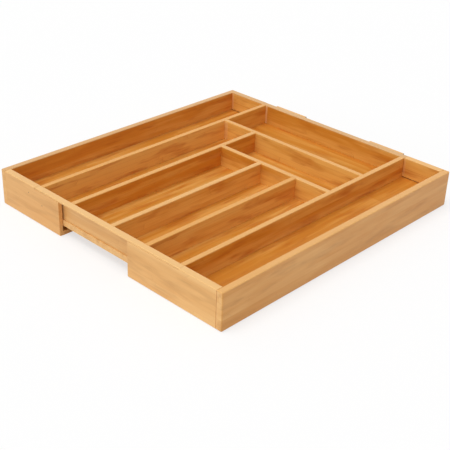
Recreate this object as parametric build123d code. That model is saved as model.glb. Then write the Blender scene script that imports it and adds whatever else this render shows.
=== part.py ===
from build123d import *
import os

# Expandable cutlery tray in bamboo, closed, lying on its underside.
# Millimetres. +X is to the right, +Y away from the user, +Z up.
# The origin is under the middle of the whole tray, on the surface that it stands on.

# Overall sizes of the closed tray, without the keepers on its far side
tray_width = 418.0
tray_depth = 450.0
tray_height = 52.0

# Boards
wall_thick = 10.0
long_wall_thick = 9.3
divider_thick = 7.5
floor_thick = 8.5
slide_board_thick = 6.0

# Running clearances between the middle tray and the side trays
slide_gap = 0.3
groove_play = 1.3

# Side trays: width of the bay outside the middle tray, and how far each one pulls out
bay_width = {"left": 75.9, "right": 69.4}
travel = {"left": 30.0, "right": 69.0}
arm_overlap = 20.0
arm_thick = 5.7

# Lip along the top of the middle tray's near and far walls, over the arms
lip_height = 2.2
lip_set_in = 0.5

# The middle tray's floor stands this far above the surface, over the slide boards
floor_low = 13.8
ledge_width = 2.0

# Stops that end the travel, hidden between the floor and the slide boards
stop_width = 8.0
stop_length = 300.0
stop_gap = 0.1

# Centre lines of the dividers, as shares of the clear space between the middle tray's walls
divider_left_share = 0.2332
divider_middle_share = 0.5340
divider_right_share = 0.7792
cross_front_share = 0.6221
cross_rear_share = 0.7901

# Joinery
housing_depth = 2.0
glue_gap = 0.05

# Keepers behind the far rim, set in from the middle tray's ends
keeper_length = 60.0
keeper_proud = 4.0
keeper_height = 21.0
keeper_set_down = 0.8
keeper_inset = {"left": 20.5, "right": 9.6}

# Roundings
corner_round = 1.8
top_round = 1.0
ledge_round = 1.2
small_round = 0.4
cut_over = 1.0

# Outer planes of the closed tray
left_x = -tray_width / 2
right_x = tray_width / 2
near_y = -(tray_depth + keeper_proud) / 2
far_y = near_y + tray_depth

# Levels
floor_top = floor_low + floor_thick
lip_low = tray_height - lip_height
arm_top = lip_low - slide_gap
groove_low = floor_low - slide_gap
groove_high = floor_top + groove_play
keeper_top = tray_height - keeper_set_down

# Depths into the tray from its near or far face
floor_edge = arm_thick + slide_gap
web_face = floor_edge + ledge_width
web_middle = (web_face + wall_thick) / 2

sides = ("left", "right")
ends = ("near", "far")


def from_side(side, first, last):
    """X range between two distances measured inwards from the left or right face."""
    if side == "left":
        return (left_x + first, left_x + last)
    return (right_x - last, right_x - first)


def from_end(end, first, last):
    """Y range between two distances measured inwards from the near or far face."""
    if end == "near":
        return (near_y + first, near_y + last)
    return (far_y - last, far_y - first)


def centred(middle, length):
    """Range of a given length about its middle."""
    return (middle - length / 2, middle + length / 2)


def at_share(low, high, share):
    """Place at a share of the way between two planes."""
    return low + (high - low) * share


# X ranges of the boards that run away from the user
inner_walls = {"left_inner_wall": "left", "right_inner_wall": "right"}
long_walls = {
    name: from_side(side, bay_width[side], bay_width[side] + divider_thick)
    for name, side in inner_walls.items()
}
middle_left_x = long_walls["left_inner_wall"][0]
middle_right_x = long_walls["right_inner_wall"][1]
clear_x = (long_walls["left_inner_wall"][1], long_walls["right_inner_wall"][0])
long_divider_shares = {
    "long_divider_left": divider_left_share,
    "long_divider_middle": divider_middle_share,
    "long_divider_right": divider_right_share,
}
for name, share in long_divider_shares.items():
    long_walls[name] = centred(at_share(*clear_x, share), divider_thick)

# Y ranges of the boards that run across
clear_y = (near_y + wall_thick, far_y - wall_thick)
cross_divider_shares = {
    "cross_divider_front": cross_front_share,
    "cross_divider_rear": cross_rear_share,
}
cross_walls = {
    name: centred(at_share(*clear_y, share), divider_thick) for name, share in cross_divider_shares.items()
}
rail_seat_y = (near_y + web_middle, far_y - web_middle)
stop_range = centred((near_y + far_y) / 2, stop_length)


def block(x_range, y_range, z_range):
    """A squared board between pairs of planes."""
    ranges = (x_range, y_range, z_range)
    low = [pair[0] for pair in ranges]
    size = [pair[1] - pair[0] for pair in ranges]
    return Pos(*low) * Box(*size, align=(Align.MIN, Align.MIN, Align.MIN))


def edges_at(solid, axis, value):
    """Straight edges along an axis whose other coordinates are given in value."""
    return [
        edge
        for edge in solid.edges().filter_by(axis)
        if all(abs(getattr(edge.center(), name) - place) < small_round / 10 for name, place in value.items())
    ]


def tray_envelope():
    """The side trays' common outer form, with the roundings that run over their glued corners."""
    outer = block((left_x, right_x), (near_y, far_y), (0, tray_height))
    upright = outer.edges().filter_by(Axis.Z)
    bottom = outer.edges().group_by(Axis.Z)[0]
    outer = fillet(upright + bottom, corner_round)
    return fillet(outer.edges().group_by(Axis.Z)[-1], top_round)


def side_reach(side):
    """How far a side tray's arms and slide board reach in, with the tray closed."""
    return bay_width[side] + travel[side] + arm_overlap


def slide_board(side):
    """Thin bottom of a side tray, let into its three walls, which runs under the middle tray."""
    return block(
        from_side(side, arm_thick, side_reach(side)),
        (near_y + arm_thick, far_y - arm_thick),
        (0, slide_board_thick),
    )


def side_long_wall(side, envelope):
    """Outer wall of a side tray, over its whole depth, rebated for the slide board."""
    wall = block(from_side(side, 0, long_wall_thick), (near_y, far_y), (0, tray_height)) & envelope
    inner_x = from_side(side, long_wall_thick, long_wall_thick)[0]
    wall = fillet(edges_at(wall, Axis.Y, {"X": inner_x, "Z": tray_height}), top_round)
    return wall - slide_board(side)


def side_short_wall(side, end, envelope):
    """Near or far wall of a side tray: full section beside its bay, then a thin arm under the lip."""
    bay_end = bay_width[side] - slide_gap
    reach = side_reach(side)
    full = block(from_side(side, long_wall_thick, bay_end), from_end(end, 0, wall_thick), (0, tray_height))
    full = full & envelope
    inner_y = from_end(end, wall_thick, wall_thick)[0]
    full = fillet(edges_at(full, Axis.X, {"Y": inner_y, "Z": tray_height}), top_round)
    groove = block(
        from_side(side, long_wall_thick - cut_over, bay_width[side]),
        from_end(end, arm_thick, wall_thick + cut_over),
        (groove_low, groove_high),
    )
    arm = block(from_side(side, bay_end - small_round, reach), from_end(end, 0, arm_thick), (0, arm_top))
    arm = fillet(edges_at(arm & envelope, Axis.X, {"Z": arm_top}), small_round)
    end_x = from_side(side, reach, reach)[0]
    outer_y = from_end(end, 0, 0)[0]
    wall = fillet(edges_at(full - groove + arm, Axis.Z, {"X": end_x, "Y": outer_y}), small_round)
    return wall - slide_board(side)


def stop_strip(side):
    """Strip glued on a slide board, which meets the cleat when the side tray is fully out."""
    start = bay_width[side] + travel[side] + stop_gap
    return block(
        from_side(side, start, start + stop_width),
        stop_range,
        (slide_board_thick, floor_low - slide_gap),
    )


def stop_cleat(side):
    """Cleat glued under the floor, just outside the middle tray's long wall."""
    return block(
        from_side(side, bay_width[side] - stop_width, bay_width[side]),
        stop_range,
        (slide_board_thick + slide_gap, floor_low),
    )


def floor_board():
    """Bottom of the middle tray. Its edges run in the side trays' grooves."""
    inset = long_wall_thick + slide_gap
    board = block(
        (left_x + inset, right_x - inset),
        (near_y + floor_edge, far_y - floor_edge),
        (floor_low, floor_top),
    )
    board = fillet(board.edges().filter_by(Axis.X).group_by(Axis.Z)[-1], ledge_round)
    return fillet(board.edges().filter_by(Axis.X).group_by(Axis.Z)[0], small_round)


def housing(x_range, y_range):
    """Cutter for an upright housing that takes the end of a board, with room for glue."""
    return block(
        (x_range[0] - glue_gap, x_range[1] + glue_gap),
        (y_range[0] - glue_gap, y_range[1] + glue_gap),
        (floor_top - cut_over, tray_height + cut_over),
    )


def rail(end):
    """Near or far wall of the middle tray, rebated outside so that the arms run under its lip."""
    board = block(
        (middle_left_x, middle_right_x),
        from_end(end, lip_set_in, wall_thick),
        (floor_top, tray_height),
    )
    board = fillet(edges_at(board, Axis.X, {"Z": tray_height}), top_round)
    board = board - block(
        (middle_left_x - cut_over, middle_right_x + cut_over),
        from_end(end, lip_set_in - cut_over, web_face),
        (floor_top - cut_over, lip_low),
    )
    for name, x_range in long_walls.items():
        if end == "near" or name in inner_walls:
            board = board - housing(x_range, from_end(end, web_middle, wall_thick + cut_over))
    return board


def upright_board(x_range, y_range, axis):
    """Board on the floor board, level with the rim, with its top edges eased."""
    board = block(x_range, y_range, (floor_top, tray_height))
    return fillet(edges_at(board, axis, {"Z": tray_height}), top_round)


def keeper(side):
    """Hooked block behind the far rim: glued to the lip, it stands clear behind the arm."""
    first = bay_width[side] + keeper_inset[side]
    x_range = from_side(side, first, first + keeper_length)
    glued_y = far_y - lip_set_in
    body = block(x_range, (glued_y, far_y + keeper_proud), (keeper_top - keeper_height, keeper_top))
    outer = body.edges().filter_by(Axis.X).group_by(Axis.Y)[-1]
    uprights = body.edges().filter_by(Axis.Z).group_by(Axis.Y)[-1]
    body = fillet(outer + uprights, small_round)
    arm_space = block(
        (x_range[0] - cut_over, x_range[1] + cut_over),
        (glued_y - cut_over, far_y + slide_gap),
        (keeper_top - keeper_height - cut_over, lip_low),
    )
    return body - arm_space


pieces = {}

# Middle tray
pieces["middle_floor"] = floor_board()
for end in ends:
    pieces[end + "_rail"] = rail(end)
for name in inner_walls:
    pieces[name] = upright_board(long_walls[name], rail_seat_y, Axis.Y)

# Each long divider runs from the near rail into the cross divider named here
divider_end = {
    "long_divider_left": "cross_divider_rear",
    "long_divider_middle": "cross_divider_front",
    "long_divider_right": "cross_divider_front",
}
for name, cross in divider_end.items():
    y_range = (rail_seat_y[0], cross_walls[cross][0] + housing_depth)
    pieces[name] = upright_board(long_walls[name], y_range, Axis.Y)

# Each cross divider runs between the two long boards named here
cross_between = {
    "cross_divider_front": ("long_divider_left", "right_inner_wall"),
    "cross_divider_rear": ("left_inner_wall", "right_inner_wall"),
}
for name, (left_board, right_board) in cross_between.items():
    x_range = (long_walls[left_board][1] - housing_depth, long_walls[right_board][0] + housing_depth)
    pieces[name] = upright_board(x_range, cross_walls[name], Axis.X)
    for board in (left_board, right_board):
        pieces[board] = pieces[board] - housing(x_range, cross_walls[name])

# The long dividers' far ends are housed in the cross dividers
for name, cross in divider_end.items():
    face_y = cross_walls[cross][0]
    cutter = housing(long_walls[name], (face_y - cut_over, face_y + housing_depth))
    pieces[cross] = pieces[cross] - cutter

for side in sides:
    pieces["rear_keeper_" + side] = keeper(side)
    pieces["stop_cleat_" + side] = stop_cleat(side)

# Side trays
envelope = tray_envelope()
for side in sides:
    pieces[side + "_long_wall"] = side_long_wall(side, envelope)
    pieces[side + "_slide_board"] = slide_board(side)
    pieces[side + "_stop_strip"] = stop_strip(side)
    for end in ends:
        pieces[side + "_" + end + "_wall"] = side_short_wall(side, end, envelope)

os.makedirs("parts", exist_ok=True)
for name, piece in pieces.items():
    export_step(piece, "parts/" + name + ".step")
    print(name, round(piece.volume))
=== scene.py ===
import bpy
import math
from dataclasses import dataclass
from mathutils import Matrix, Vector


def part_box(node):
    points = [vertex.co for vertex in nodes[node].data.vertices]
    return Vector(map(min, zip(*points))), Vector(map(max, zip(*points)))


# Bamboo cutlery tray, closed, on a white floor. Metres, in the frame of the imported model.
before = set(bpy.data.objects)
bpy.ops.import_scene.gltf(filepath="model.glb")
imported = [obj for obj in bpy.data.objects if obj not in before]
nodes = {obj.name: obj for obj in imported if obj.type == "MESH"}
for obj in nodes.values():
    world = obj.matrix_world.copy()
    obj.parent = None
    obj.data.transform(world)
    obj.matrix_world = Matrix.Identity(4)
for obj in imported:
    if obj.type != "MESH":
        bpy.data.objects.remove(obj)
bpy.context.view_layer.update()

# Camera at the photograph's angle, in degrees, metres and pixels of the 450 px frame
VIEW_AZIMUTH = 43.316
VIEW_ELEVATION = 29.004
VIEW_ROLL = 1.999
VIEW_DISTANCE = 1.2561
VIEW_TARGET = Vector((0.0400, -0.0477, 0.0))
FOCAL_PX = 940.2
FRAME_PX = 450
SENSOR_MM = 36
NEAREST_SEEN = 0.01
FARTHEST_SEEN = 50

# Studio: an even white sky, a soft lamp nearly overhead and a weaker one low at the near side.
# Each lamp has the direction towards it, its softness in degrees and its strength.
SKY_STRENGTH = 0.48
LAMPS = {
    "overhead": ((-0.06, -0.25, 1.0), 40, 1.66),
    "front": ((-0.22, -1.0, 0.38), 30, 0.33),
}

# Floor, and the share of plain white in what the camera sees of it
FLOOR_WHITE = (0.96, 0.96, 0.96, 1)
FLOOR_HALF = 4.0
FLOOR_ROUGHNESS = 0.9
FLOOR_GLOSS = 0.1
BACKDROP_SHARE = 0.64

# Bamboo tones, linear: single ones, and sets for light, dark and brown lamellae
RIM_STRAW = (0.86, 0.52, 0.210, 1)
RIM_GOLD = (0.77, 0.360, 0.076, 1)
# A darker, pinker rim tone for the far and left rims: painted shade where their rounded outer edges catch
# less light
RIM_SHADED_ROSE = (0.63, 0.390, 0.190, 1)
FACE_TONES = ((0.86, 0.515, 0.205, 1), (0.68, 0.305, 0.076, 1), (0.41, 0.165, 0.044, 1))
INSIDE_TONES = ((0.93, 0.545, 0.150, 1), (0.74, 0.305, 0.035, 1), (0.53, 0.120, 0.009, 1))
GOLD_TONES = ((0.92, 0.535, 0.135, 1), (0.70, 0.295, 0.036, 1), (0.52, 0.150, 0.012, 1))
FLOOR_TONES = ((0.83, 0.465, 0.130, 1), (0.61, 0.240, 0.030, 1), (0.46, 0.112, 0.011, 1))
BAND_TONE = (0.95, 0.60, 0.27, 1)
# Dark grey painted on the keepers' right end faces as shade
END_SHADE_TONE = (0.20, 0.16, 0.12, 1)
KNOT_TONE = (0.20, 0.09, 0.04, 1)

# Lacquer
GLOSS_TINT = (1.0, 0.80, 0.55, 1)
GLOSS = 0.35
ROUGHNESS = 0.34
FIBRE_ROUGHNESS = 0.16
WORN_ROUGHNESS = 0.1
BUMP_STRENGTH = 0.2
BUMP_DEPTH = 0.0003

# Grain, in changes per metre along, across and through a board
FIBRE_GRAIN = (16.0, 1500.0, 1500.0)
BROAD_GRAIN = (14.0, 150.0, 150.0)
CLOUD_GRAIN = (11.0, 75.0, 75.0)
PATCH_GRAIN = (16.0, 85.0, 85.0)
DASH_GRAIN = (36.0, 300.0, 300.0)
WEAR_GRAIN = 220.0

# Steps that set the grain of lamellae, layers, patches and boards apart from each other
LAMELLA_APART = 7.0
LAYER_APART = 17.0
PATCH_APART = 3.1
BOARD_APART = 1.37

# Strip of bamboo and its culm nodes, in metres, and in node spacings for shift, wander and turn
STRIP_WIDTH = 0.00745
STRIP_DEPTH = 0.006
NODE_SPACING = 0.24
NODE_SHIFT = 5.0
NODE_WANDER = 0.10
NODE_LINE = 0.0016
NODE_SMEAR = 0.016
SMEAR_STRENGTH = 0.55
SMEAR_RANGE = (0.35, 0.65)
TONE_TURN = 0.80
SEAM_WIDTH = 0.0005

# Dark dashes and the patches that hold them
PATCH_RANGE = (0.50, 0.66)
DASH_RANGE = (0.46, 0.70)
FAINTEST_DASH = 0.55

# Relief of the grain, as shares of the bump's depth
FIBRE_HEIGHT = 0.5
SEAM_HEIGHT = -0.5
NODE_HEIGHT = 0.3

# How far each part of the grain swings a board's tone, and what turns it brown
STRIP_SWING = 0.45
BROAD_SWING = 0.70
CLOUD_SWING = 1.2
FIBRE_SWING = 0.5
BROWNING = 0.65
NODE_BROWN = 0.7
DEEPEST_RANGE = (0.9, 1.5)
DEEPEST_BROWN = 0.6
FACE_CONTRAST = 0.55
FACE_BROWNING = 0.5

# Zones of a board, in metres, and how far its pale edges, from rubbing and painted highlight, reach in
# widths of their own
SKIN = 0.009
FLOOR_SKIN = 0.001
END_SKIN = 0.0003
INSIDE_BLEND = (-0.0001, 0.0004)
RIM_BLEND = (0.0005, 0.0014)
BAND_BLEND = 0.0003
# Foot heights: between them painted bounce light from the floor fades out on the inside faces
FOOT_LOW = 0.001
FOOT_HIGH = 0.016
# Depth below the rim of the band on the near faces that is painted lighter, as light falling on their top
PAINTED_LIGHT_DEPTH = 0.0073
WEAR_WIDTH = 0.0012
WEAR_REACH = 1.6

# How much of the face's grain the rim shows, and how much fibres and seams count in it
RIM_GRAIN = 0.32
RIM_FIBRE = 1.2
RIM_SEAM = 0.6

# Small dark knots in the near left face, by their place along it and their height
KNOT_PLACES = ((-0.1474, 0.0396), (-0.1191, 0.0307))
KNOT_RADIUS = 0.0011
KNOT_CORE = 0.5
KNOT_STRENGTH = 0.8

# Numbers of some node sockets: a vector step's scale, and a colour mix's two colours and result
VECTOR_SCALE = 3
MIX_FIRST = 6
MIX_SECOND = 7
MIX_RESULT = 2


def make_camera():
    """Camera that sees the tray as the photograph does."""
    azimuth = math.radians(VIEW_AZIMUTH)
    elevation = math.radians(VIEW_ELEVATION)
    roll = math.radians(VIEW_ROLL)
    level = math.cos(elevation)
    back = Vector((math.sin(azimuth) * level, -math.cos(azimuth) * level, math.sin(elevation)))
    flat_right = Vector((math.cos(azimuth), math.sin(azimuth), 0))
    flat_up = back.cross(flat_right)
    right = math.cos(roll) * flat_right + math.sin(roll) * flat_up
    up = back.cross(right)
    data = bpy.data.cameras.new("camera")
    data.sensor_width = SENSOR_MM
    data.lens = FOCAL_PX / FRAME_PX * data.sensor_width
    data.clip_start = NEAREST_SEEN
    data.clip_end = FARTHEST_SEEN
    camera = bpy.data.objects.new("camera", data)
    eye = VIEW_TARGET + back * VIEW_DISTANCE
    turn = Matrix((right, up, back)).transposed().to_4x4()
    camera.matrix_world = Matrix.Translation(eye) @ turn
    bpy.context.scene.collection.objects.link(camera)
    bpy.context.scene.camera = camera


class Graph:
    """A node tree with short ways to add and link nodes."""

    def __init__(self, tree):
        self.tree = tree
        self.nodes = tree.nodes
        self.links = tree.links

    def feed(self, socket, value):
        """Link a socket to an output, or set its own value."""
        if isinstance(value, bpy.types.NodeSocket):
            self.links.new(value, socket)
        elif value is not None:
            socket.default_value = value

    def math(self, operation, a, b=None):
        """A sum, product or other step on one or two numbers."""
        node = self.nodes.new("ShaderNodeMath")
        node.operation = operation
        for socket, value in zip(node.inputs, (a, b)):
            self.feed(socket, value)
        return node.outputs[0]

    def times(self, a, b):
        """Product of two numbers."""
        return self.math("MULTIPLY", a, b)

    def add(self, *values):
        """Sum of two or more numbers."""
        total = values[0]
        for value in values[1:]:
            total = self.math("ADD", total, value)
        return total

    def centred(self, value, amount):
        """A 0 to 1 value, moved to swing about zero by an amount."""
        return self.times(self.math("SUBTRACT", value, 0.5), amount)

    def vector(self, operation, a, b=None, scale=None):
        """A step on one or two vectors."""
        node = self.nodes.new("ShaderNodeVectorMath")
        node.operation = operation
        self.feed(node.inputs[0], a)
        self.feed(node.inputs[1], b)
        self.feed(node.inputs[VECTOR_SCALE], scale)
        return node.outputs["Value" if operation == "DISTANCE" else "Vector"]

    def split(self, vector):
        """The x, y and z of a vector."""
        node = self.nodes.new("ShaderNodeSeparateXYZ")
        self.feed(node.inputs[0], vector)
        return tuple(node.outputs)

    def join(self, x, y, z):
        """A vector of three numbers."""
        node = self.nodes.new("ShaderNodeCombineXYZ")
        for socket, value in zip(node.inputs, (x, y, z)):
            self.feed(socket, value)
        return node.outputs[0]

    def noise(self, place, detail=2.0, roughness=0.5, distortion=0.0):
        """Soft noise from 0 to 1, at a place that is already scaled."""
        node = self.nodes.new("ShaderNodeTexNoise")
        self.feed(node.inputs["Vector"], place)
        self.feed(node.inputs["Scale"], 1.0)
        self.feed(node.inputs["Detail"], detail)
        self.feed(node.inputs["Roughness"], roughness)
        self.feed(node.inputs["Distortion"], distortion)
        return node.outputs["Fac"]

    def random(self, x, y, z):
        """A random value and a random colour for a cell."""
        node = self.nodes.new("ShaderNodeTexWhiteNoise")
        node.noise_dimensions = "3D"
        self.feed(node.inputs["Vector"], self.join(x, y, z))
        return node.outputs["Value"], node.outputs["Color"]

    def span(self, value, low, high, to_low=0.0, to_high=1.0, smooth=True):
        """A value's stretch from low to high, moved to another stretch and held at its ends."""
        node = self.nodes.new("ShaderNodeMapRange")
        node.interpolation_type = "SMOOTHSTEP" if smooth else "LINEAR"
        node.clamp = True
        for socket, number in zip(node.inputs, (value, low, high, to_low, to_high)):
            self.feed(socket, number)
        return node.outputs[0]

    def mix(self, share, first, second):
        """A colour between two, by the share of the second."""
        node = self.nodes.new("ShaderNodeMix")
        node.data_type = "RGBA"
        node.clamp_factor = True
        self.feed(node.inputs["Factor"], share)
        self.feed(node.inputs[MIX_FIRST], first)
        self.feed(node.inputs[MIX_SECOND], second)
        return node.outputs[MIX_RESULT]

    def group(self, tree, **values):
        """A node group with its inputs fed by name, such as strip_width for Strip width."""
        node = self.nodes.new("ShaderNodeGroup")
        node.node_tree = tree
        for name, value in values.items():
            self.feed(node.inputs[name.replace("_", " ").capitalize()], value)
        return node.outputs


def new_group(name, inputs, outputs):
    """Shader node group with named sockets, and its graph, inputs and output sockets."""
    tree = bpy.data.node_groups.new(name, "ShaderNodeTree")
    for label, kind, value in inputs:
        socket = tree.interface.new_socket(name=label, in_out="INPUT", socket_type="NodeSocket" + kind)
        if value is not None:
            socket.default_value = value
    for label in outputs:
        kind = "NodeSocketColor" if label == "Color" else "NodeSocketFloat"
        tree.interface.new_socket(name=label, in_out="OUTPUT", socket_type=kind)
    source = tree.nodes.new("NodeGroupInput").outputs
    sink = tree.nodes.new("NodeGroupOutput").inputs
    return tree, Graph(tree), source, sink


def lamella_group():
    """Laminated bamboo: lamellae side by side, fibres along them and culm nodes now and then.

    Place holds metres along the board, across it and through its thickness."""
    tree, g, source, sink = new_group(
        "bamboo_lamellae",
        (
            ("Place", "Vector", None),
            ("Strip width", "Float", STRIP_WIDTH),
            ("Strip depth", "Float", STRIP_DEPTH),
            ("Node spacing", "Float", NODE_SPACING),
            ("Seed", "Float", 0.0),
        ),
        ("Strip", "Fibre", "Broad", "Cloud", "Streak", "Node", "Seam", "Height"),
    )
    place = source["Place"]
    seed = source["Seed"]
    along, across, through = g.split(place)
    row_place = g.math("DIVIDE", across, source["Strip width"])
    row = g.math("FLOOR", row_place)
    layer = g.math("FLOOR", g.math("DIVIDE", through, source["Strip depth"]))
    offsets = g.random(row, layer, seed)[1]
    own_place = g.vector("SCALE", offsets, scale=LAMELLA_APART)

    def lamella_noise(grain, **options):
        """Noise that is stretched along the grain and breaks from one lamella to the next."""
        return g.noise(g.vector("ADD", g.vector("MULTIPLY", place, grain), own_place), **options)

    fibre = lamella_noise(FIBRE_GRAIN, roughness=0.6)
    broad = lamella_noise(BROAD_GRAIN, detail=3.0, roughness=0.55, distortion=0.3)

    # Soft patches that run over the lamellae
    seed_place = g.join(seed, seed, 0.0)
    cloud_place = g.vector("ADD", g.vector("MULTIPLY", place, CLOUD_GRAIN), seed_place)
    cloud = g.noise(cloud_place, distortion=0.3)
    patch_place = g.vector("MULTIPLY", place, PATCH_GRAIN)
    patch_place = g.vector("ADD", patch_place, g.vector("SCALE", seed_place, scale=PATCH_APART))
    patch = g.span(g.noise(patch_place), *PATCH_RANGE)

    # Short dark dashes of the vascular bundles, gathered in browner patches
    dash = g.span(lamella_noise(DASH_GRAIN, roughness=0.6), *DASH_RANGE)
    streak = g.times(g.span(dash, 0.0, 1.0, FAINTEST_DASH, 1.0, smooth=False), patch)

    # Tone of each length of a lamella, blending into the next one at a culm node
    shift = g.times(g.split(offsets)[0], NODE_SHIFT)
    wander = g.centred(broad, NODE_WANDER)
    node_place = g.add(g.math("DIVIDE", along, source["Node spacing"]), shift, wander)
    length = g.math("FLOOR", node_place)
    in_length = g.math("FRACT", node_place)
    seed_layer = g.add(seed, g.times(layer, LAYER_APART))
    this_tone = g.random(row, length, seed_layer)[0]
    next_tone = g.random(row, g.add(length, 1.0), seed_layer)[0]
    turn = g.span(in_length, TONE_TURN, 1.0)
    strip = g.add(g.times(this_tone, g.math("SUBTRACT", 1.0, turn)), g.times(next_tone, turn))

    # Culm node: a thin line with a smear on one side
    from_node = g.times(g.math("SUBTRACT", 1.0, in_length), source["Node spacing"])
    line = g.span(from_node, 0.0, NODE_LINE, 1.0, 0.0)
    smear = g.span(from_node, 0.0, NODE_SMEAR, SMEAR_STRENGTH, 0.0)
    node = g.math("MAXIMUM", line, g.times(smear, g.span(fibre, *SMEAR_RANGE)))

    # Seam between two lamellae
    from_middle = g.math("ABSOLUTE", g.math("SUBTRACT", g.math("FRACT", row_place), 0.5))
    to_seam = g.times(g.math("SUBTRACT", 0.5, from_middle), source["Strip width"])
    seam = g.span(to_seam, 0.0, SEAM_WIDTH, 1.0, 0.0)

    height = g.add(
        g.times(fibre, FIBRE_HEIGHT),
        g.times(seam, SEAM_HEIGHT),
        g.times(node, NODE_HEIGHT),
    )
    for name, value in (
        ("Strip", strip),
        ("Fibre", fibre),
        ("Broad", broad),
        ("Cloud", cloud),
        ("Streak", streak),
        ("Node", node),
        ("Seam", seam),
        ("Height", height),
    ):
        g.feed(sink[name], value)
    return tree


def tint_group():
    """Colour of lamellae from three tones. Depth moves it from light to dark, Contrast spreads it."""
    tree, g, source, sink = new_group(
        "bamboo_tint",
        (
            ("Light", "Color", FACE_TONES[0]),
            ("Dark", "Color", FACE_TONES[1]),
            ("Brown", "Color", FACE_TONES[2]),
            ("Depth", "Float", 0.0),
            ("Contrast", "Float", 1.0),
            ("Browning", "Float", BROWNING),
            ("Strip", "Float", 0.0),
            ("Fibre", "Float", 0.0),
            ("Broad", "Float", 0.0),
            ("Cloud", "Float", 0.0),
            ("Streak", "Float", 0.0),
            ("Node", "Float", 0.0),
            ("Seam", "Float", 0.0),
        ),
        ("Color",),
    )
    swing = g.add(
        g.centred(source["Strip"], STRIP_SWING),
        g.centred(source["Broad"], BROAD_SWING),
        g.centred(source["Cloud"], CLOUD_SWING),
        g.centred(source["Fibre"], FIBRE_SWING),
    )
    tone = g.add(source["Depth"], g.times(swing, source["Contrast"]))
    colour = g.mix(tone, source["Light"], source["Dark"])
    brown = g.math("MAXIMUM", source["Streak"], g.times(source["Node"], NODE_BROWN))
    brown = g.math("MAXIMUM", brown, source["Seam"])
    brown = g.math("MAXIMUM", brown, g.span(tone, *DEEPEST_RANGE, 0.0, DEEPEST_BROWN))
    browned = g.mix(g.times(brown, source["Browning"]), colour, source["Brown"])
    g.feed(sink["Color"], browned)
    return tree


def zone_group():
    """Masks of a board's zones: inside the tray, along the rim, at its foot and at its own edges.

    Low and High are the board's corners; In low and In high are the corners of the tray's inside."""
    tree, g, source, sink = new_group(
        "board_zones",
        (
            ("Place", "Vector", None),
            ("Low", "Vector", None),
            ("High", "Vector", None),
            ("In low", "Vector", None),
            ("In high", "Vector", None),
            ("Rim", "Float", 0.0),
            ("Foot low", "Float", FOOT_LOW),
            ("Foot high", "Float", FOOT_HIGH),
            ("Wear width", "Float", WEAR_WIDTH),
        ),
        ("Inside", "Rim", "Foot", "Edge"),
    )
    place = source["Place"]

    def inset(low, high):
        """How far a place lies within two corners, along each axis."""
        from_low = g.vector("SUBTRACT", place, low)
        from_high = g.vector("SUBTRACT", high, place)
        return g.split(g.vector("MINIMUM", from_low, from_high))

    x, y, z = inset(source["In low"], source["In high"])
    nearest = g.math("MINIMUM", g.math("MINIMUM", x, y), z)
    g.feed(sink["Inside"], g.span(nearest, *INSIDE_BLEND))
    # Foot mask, for the painted bounce light from the floor on the inside faces
    g.feed(sink["Foot"], g.span(z, source["Foot low"], source["Foot high"], 1.0, 0.0))

    below_rim = g.math("SUBTRACT", source["Rim"], g.split(place)[2])
    g.feed(sink["Rim"], g.span(below_rim, *RIM_BLEND, 1.0, 0.0))

    x, y, z = inset(source["Low"], source["High"])
    from_edge = g.math("MINIMUM", g.math("MAXIMUM", x, y), g.math("MAXIMUM", y, z))
    from_edge = g.math("MINIMUM", from_edge, g.math("MAXIMUM", x, z))
    wear_width = source["Wear width"]
    ragged = g.times(g.noise(g.vector("SCALE", place, scale=WEAR_GRAIN)), wear_width)
    edge = g.span(g.add(from_edge, ragged), 0.0, g.times(wear_width, WEAR_REACH), 1.0, 0.0)
    g.feed(sink["Edge"], edge)
    return tree


LAMELLAE = lamella_group()
TINT = tint_group()
ZONES = zone_group()

# The tray's inside, between its outer walls and from its floor up past the rim
tray_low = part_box("left_long_wall")[0]
tray_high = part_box("right_long_wall")[1]
floor_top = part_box("middle_floor")[1].z
inside_low = Vector((tray_low.x + SKIN, tray_low.y + SKIN, floor_top - FLOOR_SKIN))
inside_high = Vector((tray_high.x - SKIN, tray_high.y - SKIN, tray_high.z + SKIN))
# Line below the rim above which the near faces are painted lighter, standing in for light
painted_light_line = tray_high.z - PAINTED_LIGHT_DEPTH
near_knots = tuple(Vector((x, tray_low.y, z)) for x, z in KNOT_PLACES)

# The far or right sides of the boards past which the tones change
past_rear_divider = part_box("cross_divider_rear")[1].y
past_middle_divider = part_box("long_divider_middle")[1].x
past_right_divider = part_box("long_divider_right")[1].x
past_inner_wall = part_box("right_inner_wall")[1].x


@dataclass
class Finish:
    """How one board looks.

    Inside and outside are how deep its tones are there, and near_end the same at its near end.
    Rim goes from its rim_light at 0 to gold at 1. Strip is a lamella's width, seam how dark the
    seams are, contrast how far the tones swing, foot how much painted bounce light lightens its
    inside at the foot and wear how straw-like its edges are, from rubbing and, where it is set
    high, a painted highlight; cap is how much painted light lightens its face above a line near
    its top, and painted_top_light_blend how softly that starts. Each row in deeper is an axis, a start and
    how much deeper, or lighter below zero, its inside is from there on. Joint is the board that its
    inner face meets on the left, beside a paler band.
    Bays are the boards whose bays lie across a floor, where its grain runs across too. Knots are
    the places of small dark knots, and painted_shade_end is for a board whose right end is dark."""

    inside: float = 0.6
    outside: float = 0.4
    near_end: float | None = None
    tones: tuple = INSIDE_TONES
    rim: float = 0.5
    rim_light: tuple = RIM_STRAW
    strip: float = STRIP_WIDTH
    seam: float = 0.4
    contrast: float = 1.25
    foot: float = 0.4
    wear_and_highlight: float = 0.25
    painted_top_light: float = 0.0
    painted_top_light_blend: float = 0.0006
    deeper: tuple = ()
    joint: str | None = None
    band_width: float = 0.0
    band_strength: float = 0.0
    bays: tuple = ()
    knots: tuple = ()
    painted_shade_end: bool = False


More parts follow.
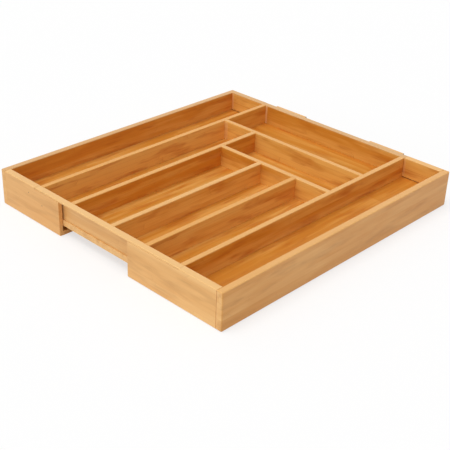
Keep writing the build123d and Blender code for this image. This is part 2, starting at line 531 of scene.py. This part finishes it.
FLOOR_STRIP = 0.0052
WIDE_STRIP = 0.018
FINISHES = {
    # Its rim starts from the rose tone: painted shade on the left rim
    "left_long_wall": Finish(inside=1.0, rim=0.3, rim_light=RIM_SHADED_ROSE),
    # Painted shade: the right side's deep tone stands for shade on the side turned from the lamps; its
    # near end keeps the plainer tone
    "right_long_wall": Finish(inside=0.7, outside=0.80, near_end=0.30, rim=0.4),
    # The near walls are painted lighter near their top, standing in for light falling there
    "left_near_wall": Finish(outside=0.52, rim=0.0, contrast=0.7, painted_top_light=0.15, knots=near_knots),
    "right_near_wall": Finish(outside=0.28, rim=0.0, contrast=1.0, painted_top_light=0.35, painted_top_light_blend=0.006),
    "left_far_wall": Finish(
        inside=0.10,
        tones=GOLD_TONES,
        rim=0.3,
        # Rose rim: painted shade on this far rim
        rim_light=RIM_SHADED_ROSE,
        strip=WIDE_STRIP,
        seam=1.0,
        joint="left_long_wall",
        band_width=0.004,
        band_strength=0.6,
    ),
    "right_far_wall": Finish(
        inside=0.0,
        tones=GOLD_TONES,
        rim=0.3,
        strip=WIDE_STRIP,
        seam=1.0,
        joint="right_inner_wall",
        band_width=0.004,
        band_strength=0.4,
    ),
    # Painted lighter near its top as well, standing in for light falling there
    "near_rail": Finish(outside=0.35, rim=0.0, contrast=1.0, painted_top_light=0.25),
    "far_rail": Finish(
        inside=0.72,
        tones=GOLD_TONES,
        rim=0.2,
        # Rose rim: painted shade on this far rim
        rim_light=RIM_SHADED_ROSE,
        joint="left_inner_wall",
        band_width=0.0038,
        band_strength=1.0,
    ),
    # Painted shade: its inside is deeper past the rear cross divider, in the corner behind it
    "left_inner_wall": Finish(inside=-0.10, rim=1.0, deeper=(("y", past_rear_divider, 0.75),)),
    "long_divider_left": Finish(inside=1.0, rim=0.7),
    "long_divider_middle": Finish(inside=0.45, rim=0.4),
    "long_divider_right": Finish(inside=0.40, rim=1.0),
    "right_inner_wall": Finish(inside=0.75, rim=0.6),
    "cross_divider_rear": Finish(
        inside=0.15,
        tones=GOLD_TONES,
        rim=0.8,
        joint="left_inner_wall",
        band_width=0.007,
        band_strength=0.5,
    ),
    "cross_divider_front": Finish(
        inside=0.75,
        tones=GOLD_TONES,
        rim=0.5,
        deeper=(("x", past_middle_divider, -0.3), ("x", past_right_divider, -0.25)),
    ),
    "middle_floor": Finish(
        inside=0.75,
        outside=0.15,
        tones=FLOOR_TONES,
        strip=FLOOR_STRIP,
        contrast=1.0,
        foot=0.0,
        # Its edges are painted much paler: a painted highlight along the ledge's top edge, over the rubbed
        # wear
        wear_and_highlight=0.7,
        deeper=(("x", past_inner_wall, 0.18), ("y", past_rear_divider, 0.25)),
        bays=("cross_divider_front", "cross_divider_rear"),
    ),
    # The keepers' right end faces are painted dark grey as shade
    "rear_keeper_left": Finish(painted_shade_end=True),
    "rear_keeper_right": Finish(painted_shade_end=True),
    "left_slide_board": Finish(inside=0.60, tones=FLOOR_TONES, strip=FLOOR_STRIP, contrast=1.0, foot=0.0),
    "right_slide_board": Finish(inside=0.85, tones=FLOOR_TONES, strip=FLOOR_STRIP, contrast=1.0, foot=0.0),
}
ALONG_Y = "yxz"
ALONG_X = "xyz"


def longest_first(low, high):
    """The grain runs along a board's longest side, and its lamellae lie across the next."""
    size = high - low
    order = sorted(range(3), key=lambda axis: -size[axis])
    return "".join("xyz"[axis] for axis in order)


def across_bays(g, xyz, boards):
    """1 in the bays behind the named boards, over each one's own length."""
    mask = 0.0
    for board in boards:
        low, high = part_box(board)
        beside = g.times(g.math("GREATER_THAN", xyz["x"], low.x), g.math("LESS_THAN", xyz["x"], high.x))
        behind = g.math("GREATER_THAN", xyz["y"], low.y)
        mask = g.math("MAXIMUM", mask, g.times(beside, behind))
    return mask


def grain_place(g, xyz, low, high, finish, seed):
    """Place along, across and through a board's lamellae, apart from the other boards' places."""

    def turned(axes):
        return g.vector("ADD", g.join(*(xyz[axis] for axis in axes)), (seed * BOARD_APART, 0.0, 0.0))

    if finish.bays:
        return g.mix(across_bays(g, xyz, finish.bays), turned(ALONG_Y), turned(ALONG_X))
    return turned(longest_first(low, high))


def face_colour(g, xyz, low, finish, marks):
    """Colour of the outer faces: painted light above a line near their top, and a lighter near end where
    it says so, beside a side in painted shade.
    """
    depth = finish.outside
    # Painted light: the face is lighter above a line near its top
    if finish.painted_top_light:
        painted_top_light = g.span(xyz["z"], painted_light_line, painted_light_line + finish.painted_top_light_blend, 0.0, -finish.painted_top_light)
        depth = g.add(depth, painted_top_light)
    # Near end: its own depth, which on the right long wall is the plain tone beside the side's painted
    # shade
    if finish.near_end is not None:
        at_end = g.math("LESS_THAN", xyz["y"], low.y + END_SKIN)
        depth = g.add(depth, g.times(at_end, finish.near_end - finish.outside))
    light, dark, brown = FACE_TONES
    return g.group(
        TINT,
        light=light,
        dark=dark,
        brown=brown,
        depth=depth,
        contrast=finish.contrast * FACE_CONTRAST,
        browning=BROWNING * FACE_BROWNING,
        **marks,
    )["Color"]


def inside_colour(g, xyz, foot, finish, marks):
    """Colour of the faces inside the tray, lighter at the foot with painted bounce light from the floor,
    and changed past some boards.
    """
    # Painted bounce light: the inside is lighter at its foot
    depth = g.add(finish.inside, g.times(foot, -finish.foot))
    for axis, start, more in finish.deeper:
        depth = g.add(depth, g.times(g.math("GREATER_THAN", xyz[axis], start), more))
    light, dark, brown = finish.tones
    return g.group(
        TINT,
        light=light,
        dark=dark,
        brown=brown,
        depth=depth,
        contrast=finish.contrast,
        browning=BROWNING,
        **marks,
    )["Color"]


def rim_colour(g, grain, face, finish):
    """Colour of the rim, between its light tone and gold, with some of the face's grain."""
    tone = g.mix(finish.rim, finish.rim_light, RIM_GOLD)
    rim_grain = g.add(
        grain["Broad"],
        g.centred(grain["Fibre"], RIM_FIBRE),
        g.times(grain["Seam"], RIM_SEAM),
    )
    return g.mix(g.times(rim_grain, RIM_GRAIN), tone, face)


def paler_band(g, colour, xyz, inside, finish):
    """A paler band up the inner face, beside the board that it meets on its left."""
    band_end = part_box(finish.joint)[1].x + finish.band_width
    band = g.span(xyz["x"], band_end - BAND_BLEND, band_end + BAND_BLEND, finish.band_strength, 0.0)
    return g.mix(g.times(band, inside), colour, BAND_TONE)


def knotted(g, colour, place, knots):
    """Small dark knots in a face."""
    for knot in knots:
        to_knot = g.vector("DISTANCE", place, knot)
        dark = g.span(to_knot, KNOT_RADIUS * KNOT_CORE, KNOT_RADIUS, KNOT_STRENGTH, 0.0)
        colour = g.mix(dark, colour, KNOT_TONE)
    return colour


def lacquer(g, colour, grain, edge):
    """Satin lacquer over the bamboo's colour and relief."""
    bump = g.nodes.new("ShaderNodeBump")
    bump.inputs["Strength"].default_value = BUMP_STRENGTH
    bump.inputs["Distance"].default_value = BUMP_DEPTH
    g.feed(bump.inputs["Height"], grain["Height"])
    roughness = g.add(
        g.centred(grain["Fibre"], FIBRE_ROUGHNESS),
        ROUGHNESS,
        g.times(edge, WORN_ROUGHNESS),
    )
    shader = g.nodes.new("ShaderNodeBsdfPrincipled")
    g.feed(shader.inputs["Base Color"], colour)
    g.feed(shader.inputs["Roughness"], roughness)
    g.feed(shader.inputs["Normal"], bump.outputs[0])
    shader.inputs["Specular IOR Level"].default_value = GLOSS
    shader.inputs["Specular Tint"].default_value = GLOSS_TINT
    output = g.nodes.new("ShaderNodeOutputMaterial")
    g.feed(output.inputs["Surface"], shader.outputs[0])


def bamboo_material(name, low, high, finish, seed):
    """Lacquered bamboo on one board, with its grain along the board."""
    material = bpy.data.materials.new(name)
    material.use_nodes = True
    g = Graph(material.node_tree)
    g.nodes.clear()
    place = g.nodes.new("ShaderNodeTexCoord").outputs["Object"]
    xyz = dict(zip("xyz", g.split(place)))
    turned = grain_place(g, xyz, low, high, finish, seed)
    grain = g.group(LAMELLAE, place=turned, strip_width=finish.strip, seed=seed)
    marks = {mark.lower(): grain[mark] for mark in ("Strip", "Fibre", "Broad", "Cloud", "Streak", "Node")}
    marks["seam"] = g.times(grain["Seam"], finish.seam)
    own_inside_low = inside_low.copy()
    own_inside_low.z = min(inside_low.z, high.z - FLOOR_SKIN)
    zones = g.group(
        ZONES,
        place=place,
        low=low,
        high=high,
        in_low=own_inside_low,
        in_high=inside_high,
        rim=tray_high.z,
    )
    face = face_colour(g, xyz, low, finish, marks)
    inside = inside_colour(g, xyz, zones["Foot"], finish, marks)
    colour = g.mix(zones["Inside"], face, inside)
    if finish.joint:
        colour = paler_band(g, colour, xyz, zones["Inside"], finish)
    # Paler, straw-like edges: rubbed wear, and where the amount is set high, a painted highlight
    colour = g.mix(g.times(zones["Edge"], finish.wear_and_highlight), colour, RIM_STRAW)
    colour = g.mix(zones["Rim"], colour, rim_colour(g, grain, face, finish))
    colour = knotted(g, colour, place, finish.knots)
    # Painted shade: the right end face turns dark grey
    if finish.painted_shade_end:
        at_end = g.math("GREATER_THAN", xyz["x"], high.x - END_SKIN)
        colour = g.mix(at_end, colour, END_SHADE_TONE)
    lacquer(g, colour, grain, zones["Edge"])
    return material


def dress_boards():
    """A bamboo material of its own on every board."""
    for number, name in enumerate(sorted(nodes)):
        low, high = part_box(name)
        finish = FINISHES.get(name, Finish())
        mesh = nodes[name].data
        mesh.materials.clear()
        mesh.materials.append(bamboo_material("bamboo_" + name, low, high, finish, float(number + 1)))


def seen_directly(g):
    """1 where the camera sees a surface straight on, in a reflection or through glass."""
    path = g.nodes.new("ShaderNodeLightPath").outputs
    seen = g.math("MAXIMUM", path["Is Camera Ray"], path["Is Glossy Ray"])
    return g.math("MAXIMUM", seen, path["Is Transmission Ray"])


def make_floor():
    """Pale floor that shows white to the camera and keeps the tray's shadow."""
    low = -FLOOR_HALF
    high = FLOOR_HALF
    mesh = bpy.data.meshes.new("floor")
    mesh.from_pydata([(low, low, 0), (high, low, 0), (high, high, 0), (low, high, 0)], [], [(0, 1, 2, 3)])
    floor = bpy.data.objects.new("floor", mesh)
    bpy.context.scene.collection.objects.link(floor)
    material = bpy.data.materials.new("pale_floor")
    material.use_nodes = True
    g = Graph(material.node_tree)
    shader = g.nodes["Principled BSDF"]
    shader.inputs["Base Color"].default_value = FLOOR_WHITE
    shader.inputs["Roughness"].default_value = FLOOR_ROUGHNESS
    shader.inputs["Specular IOR Level"].default_value = FLOOR_GLOSS
    glow = g.nodes.new("ShaderNodeEmission")
    blend = g.nodes.new("ShaderNodeMixShader")
    g.feed(blend.inputs[0], g.times(seen_directly(g), BACKDROP_SHARE))
    g.feed(blend.inputs[1], shader.outputs[0])
    g.feed(blend.inputs[2], glow.outputs[0])
    g.feed(g.nodes["Material Output"].inputs["Surface"], blend.outputs[0])
    mesh.materials.append(material)


def make_sky():
    """An even white sky, which shows plain white behind the floor."""
    world = bpy.data.worlds.new("studio")
    world.use_nodes = True
    g = Graph(world.node_tree)
    sky = g.nodes["Background"]
    sky.inputs["Color"].default_value = (1, 1, 1, 1)
    strength = g.span(seen_directly(g), 0.0, 1.0, SKY_STRENGTH, 1.0, smooth=False)
    g.feed(sky.inputs["Strength"], strength)
    bpy.context.scene.world = world


def make_lamps():
    """The studio's two soft lamps."""
    for name, (towards, softness, strength) in LAMPS.items():
        data = bpy.data.lights.new(name, "SUN")
        data.angle = math.radians(softness)
        data.energy = strength
        lamp = bpy.data.objects.new(name, data)
        lamp.matrix_world = (-Vector(towards)).to_track_quat("-Z", "Y").to_matrix().to_4x4()
        bpy.context.scene.collection.objects.link(lamp)


make_camera()
dress_boards()
make_floor()
make_sky()
make_lamps()
bpy.context.scene.view_settings.view_transform = "Standard"
